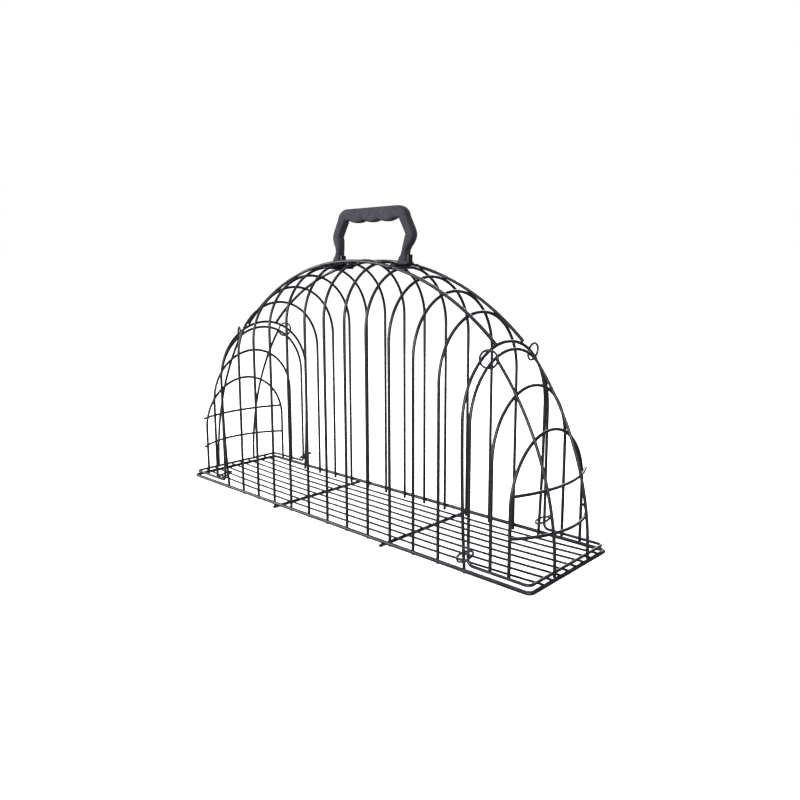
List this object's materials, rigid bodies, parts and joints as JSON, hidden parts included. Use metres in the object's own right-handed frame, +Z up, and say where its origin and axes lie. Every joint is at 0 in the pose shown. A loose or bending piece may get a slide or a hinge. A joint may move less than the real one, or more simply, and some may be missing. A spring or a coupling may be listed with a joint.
{
  "type": "wire animal cage",
  "caption": "Domed welded-wire carrying cage for holding a small animal, with a moulded handle, a wire floor and a wire door hung on rings at each end.",
  "frame": {"origin": "on the ground under the middle of the cage, midway between both ends and both sides", "axes": "+X along the cage towards the right-hand door, +Y across it towards the back, +Z up"},
  "size_m": [0.605, 0.1696, 0.3908],
  "materials": {
    "coated_wire": "semi-gloss dark coating over drawn steel wire",
    "handle_plastic": "matt moulded polypropylene, dark grey",
    "clip_plastic": "matt moulded polypropylene, black"
  },
  "bodies": {
    "cage": {"base_frame": "coated_wire", "cross_wire_left": "coated_wire", "cross_wire_right": "coated_wire", "floor_wire_1": "coated_wire", "floor_wire_2": "coated_wire", "floor_wire_3": "coated_wire", "floor_wire_4": "coated_wire", "floor_wire_5": "coated_wire", "floor_wire_6": "coated_wire", "floor_wire_7": "coated_wire", "floor_wire_8": "coated_wire", "body_hoop_01": "coated_wire", "body_hoop_02": "coated_wire", "body_hoop_03": "coated_wire", "body_hoop_04": "coated_wire", "body_hoop_05": "coated_wire", "body_hoop_06": "coated_wire", "body_hoop_07": "coated_wire", "body_hoop_08": "coated_wire", "body_hoop_09": "coated_wire", "body_hoop_10": "coated_wire", "body_hoop_11": "coated_wire", "end_hoop_left": "coated_wire", "end_hoop_right": "coated_wire", "ridge_rail_front": "coated_wire", "ridge_rail_back": "coated_wire", "handle": "handle_plastic", "handle_clip_left": "clip_plastic", "handle_clip_right": "clip_plastic", "hinge_ring_left_front": "coated_wire", "hinge_ring_left_back": "coated_wire", "hinge_ring_right_front": "coated_wire", "hinge_ring_right_back": "coated_wire"},
    "left_door": {"left_door_frame": "coated_wire", "left_large_arch": "coated_wire", "left_small_arch": "coated_wire", "left_front_rib": "coated_wire", "left_back_rib": "coated_wire", "left_upper_bar": "coated_wire", "left_lower_bar": "coated_wire"},
    "right_door": {"right_door_frame": "coated_wire", "right_large_arch": "coated_wire", "right_small_arch": "coated_wire", "right_front_rib": "coated_wire", "right_back_rib": "coated_wire", "right_upper_bar": "coated_wire", "right_lower_bar": "coated_wire"},
    "lock_ring_left_front": {"lock_ring_left_front": "coated_wire"},
    "lock_ring_left_back": {"lock_ring_left_back": "coated_wire"},
    "lock_ring_right_front": {"lock_ring_right_front": "coated_wire"},
    "lock_ring_right_back": {"lock_ring_right_back": "coated_wire"}
  },
  "joints": [
    {"name": "left_door_swing", "type": "hinge", "parent": "cage", "child": "left_door", "pos_m": [-0.21929, 0, 0.22563], "axis": [0, 1, 0], "range_deg": [0, 90]},
    {"name": "right_door_swing", "type": "hinge", "parent": "cage", "child": "right_door", "pos_m": [0.21929, 0, 0.22563], "axis": [0, -1, 0], "range_deg": [0, 90]},
    {"name": "lock_ring_left_front_slide", "type": "slide", "parent": "cage", "child": "lock_ring_left_front", "axis": [0, 0, 1], "range_m": [0, 0.133]},
    {"name": "lock_ring_left_back_slide", "type": "slide", "parent": "cage", "child": "lock_ring_left_back", "axis": [0, 0, 1], "range_m": [0, 0.133]},
    {"name": "lock_ring_right_front_slide", "type": "slide", "parent": "cage", "child": "lock_ring_right_front", "axis": [0, 0, 1], "range_m": [0, 0.133]},
    {"name": "lock_ring_right_back_slide", "type": "slide", "parent": "cage", "child": "lock_ring_right_back", "axis": [0, 0, 1], "range_m": [0, 0.133]}
  ]
}
